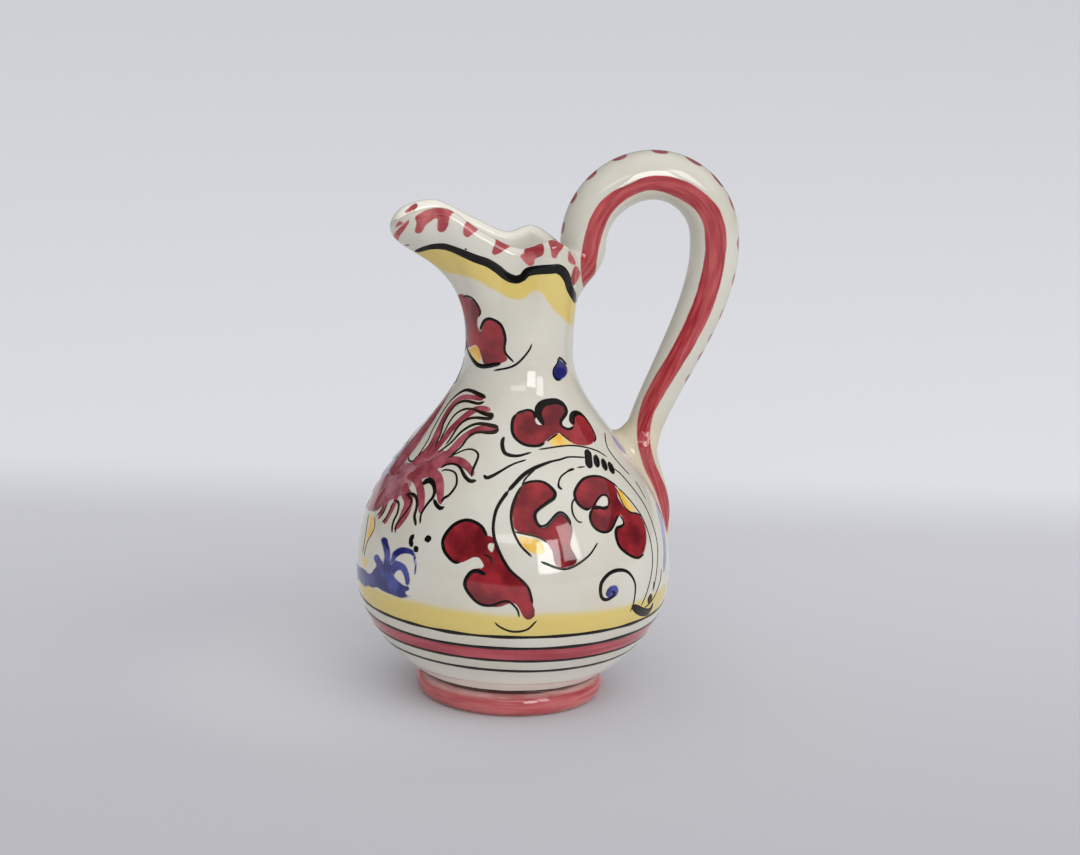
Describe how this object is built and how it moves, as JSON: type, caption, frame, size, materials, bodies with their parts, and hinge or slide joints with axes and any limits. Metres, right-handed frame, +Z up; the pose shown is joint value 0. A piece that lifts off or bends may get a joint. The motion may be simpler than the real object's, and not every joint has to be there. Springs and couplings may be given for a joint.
{
  "type": "creamer",
  "caption": "Small hand-painted creamer jug with a round belly on a foot ring, a slim neck, a pinched three-lobed mouth drawn out into a pouring spout, and a high looped handle.",
  "frame": {"origin": "middle of the space that the creamer takes up on the table, on the plane that its foot stands on; the jug's own axis is 7.7 mm towards the spout from there", "axes": "+Z up, +X towards the handle, -X towards the spout, the plane of symmetry is XZ"},
  "size_m": [0.0924, 0.0769, 0.1345],
  "materials": {
    "glaze": "warm white tin glaze, glossy, with painted red, yellow, blue and dark brown-black brushwork",
    "foot_glaze": "glossy glaze over a streaky brick-red wash, bare buff clay on the face that it stands on"
  },
  "bodies": {
    "root": {"body": "glaze", "foot_ring": "foot_glaze", "handle": "glaze", "upper_luting": "glaze", "lower_luting": "glaze"}
  },
  "joints": []
}
